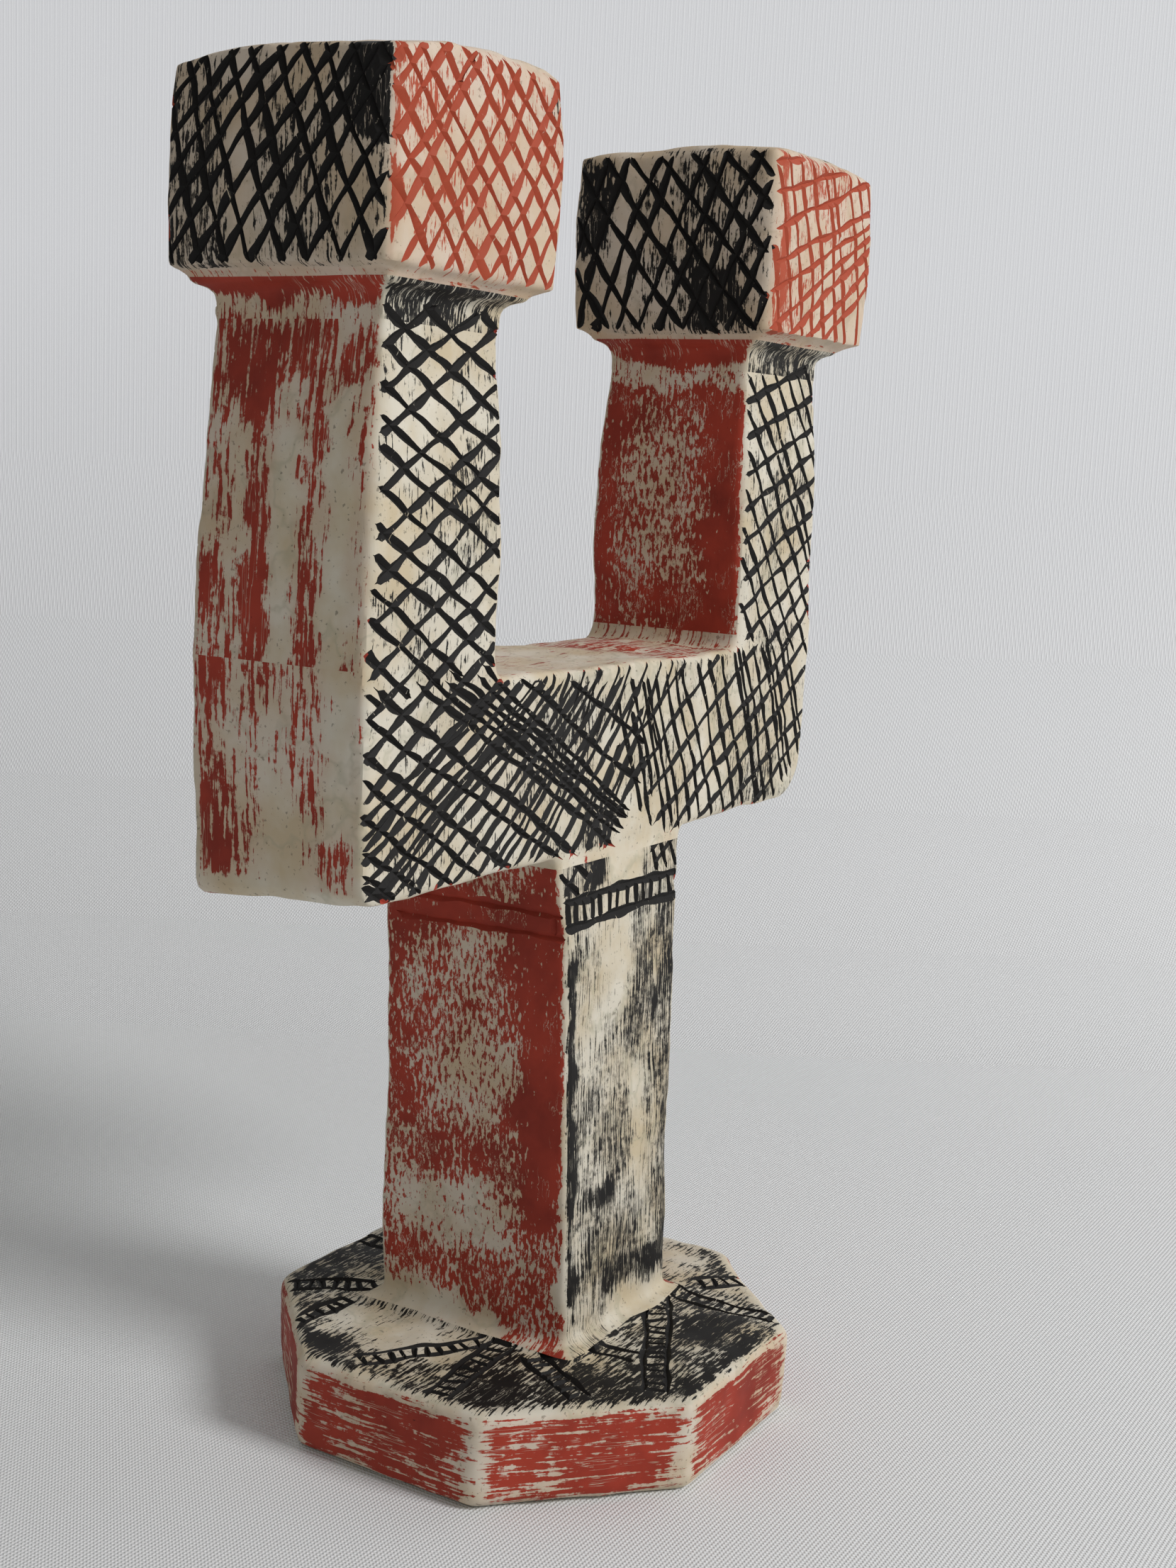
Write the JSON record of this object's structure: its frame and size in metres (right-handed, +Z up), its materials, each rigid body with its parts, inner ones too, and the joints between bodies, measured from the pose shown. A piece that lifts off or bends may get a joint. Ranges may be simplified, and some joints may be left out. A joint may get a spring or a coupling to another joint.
{
  "type": "fertility doll",
  "caption": "Carved soapstone doll: an eight-sided base, a square stem and a U-shaped yoke with two upright arms that end in domed block heads.",
  "frame": {"origin": "on the underside of the base, under the middle of the stem", "axes": "+Z up the stem, +X along the yoke from the left arm to the right arm, -Y is the front face"},
  "size_m": [0.1673, 0.0944, 0.2446],
  "materials": {
    "painted_soapstone": "carved, incised, painted red and black, then rubbed back"
  },
  "bodies": {
    "root": {"base": "painted_soapstone", "stem": "painted_soapstone", "yoke": "painted_soapstone", "left_arm": "painted_soapstone", "right_arm": "painted_soapstone", "left_neck": "painted_soapstone", "right_neck": "painted_soapstone", "left_head": "painted_soapstone", "right_head": "painted_soapstone"}
  },
  "joints": []
}
